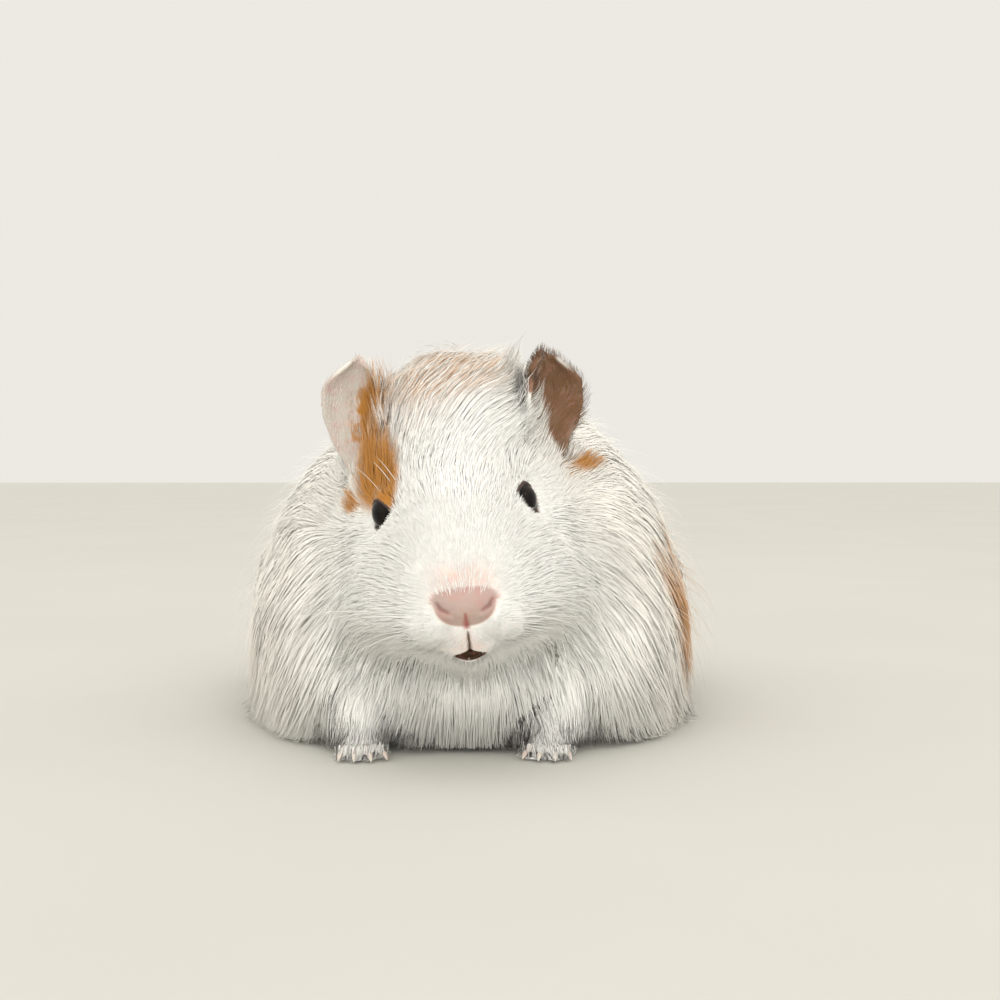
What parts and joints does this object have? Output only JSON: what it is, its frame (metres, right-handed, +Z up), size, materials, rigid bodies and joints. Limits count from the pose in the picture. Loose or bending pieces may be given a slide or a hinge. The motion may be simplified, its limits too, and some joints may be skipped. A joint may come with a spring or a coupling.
{
  "type": "guinea pig",
  "caption": "Long-haired white guinea pig with ginger and brown patches, crouching on all fours with its head forward and tilted.",
  "frame": {"origin": "middle of the footprint of the whole animal, on the floor it crouches on", "axes": "+Z up, the animal faces -Y, +X to its left"},
  "size_m": [0.158, 0.2408, 0.1165],
  "materials": {
    "white_coat": "long soft white to cream hair",
    "ginger_coat": "long soft ginger hair under white",
    "bare_skin": "bare pink skin, slightly moist at the nose",
    "pink_ear": "thin bare pink-grey skin",
    "brown_ear": "thin dark brown skin with short hair",
    "eye": "wet glossy black",
    "claw": "pale horn"
  },
  "bodies": {
    "root": {"ear_left": "brown_ear", "ear_right": "pink_ear", "eye_left": "eye", "eye_right": "eye", "forefoot_left": "bare_skin", "forefoot_left_claw_1": "claw", "forefoot_left_claw_2": "claw", "forefoot_left_claw_3": "claw", "forefoot_left_claw_4": "claw", "forefoot_right": "bare_skin", "forefoot_right_claw_1": "claw", "forefoot_right_claw_2": "claw", "forefoot_right_claw_3": "claw", "forefoot_right_claw_4": "claw", "foreleg_left": "white_coat", "foreleg_right": "white_coat", "head": "white_coat", "hindfoot_left": "bare_skin", "hindfoot_left_claw_1": "claw", "hindfoot_left_claw_2": "claw", "hindfoot_left_claw_3": "claw", "hindfoot_right": "bare_skin", "hindfoot_right_claw_1": "claw", "hindfoot_right_claw_2": "claw", "hindfoot_right_claw_3": "claw", "lower_jaw": "white_coat", "muzzle": "white_coat", "neck": "white_coat", "nose": "bare_skin", "rump": "white_coat", "shoulders": "white_coat", "thigh_left": "white_coat", "thigh_right": "white_coat", "trunk": "ginger_coat"}
  },
  "joints": []
}
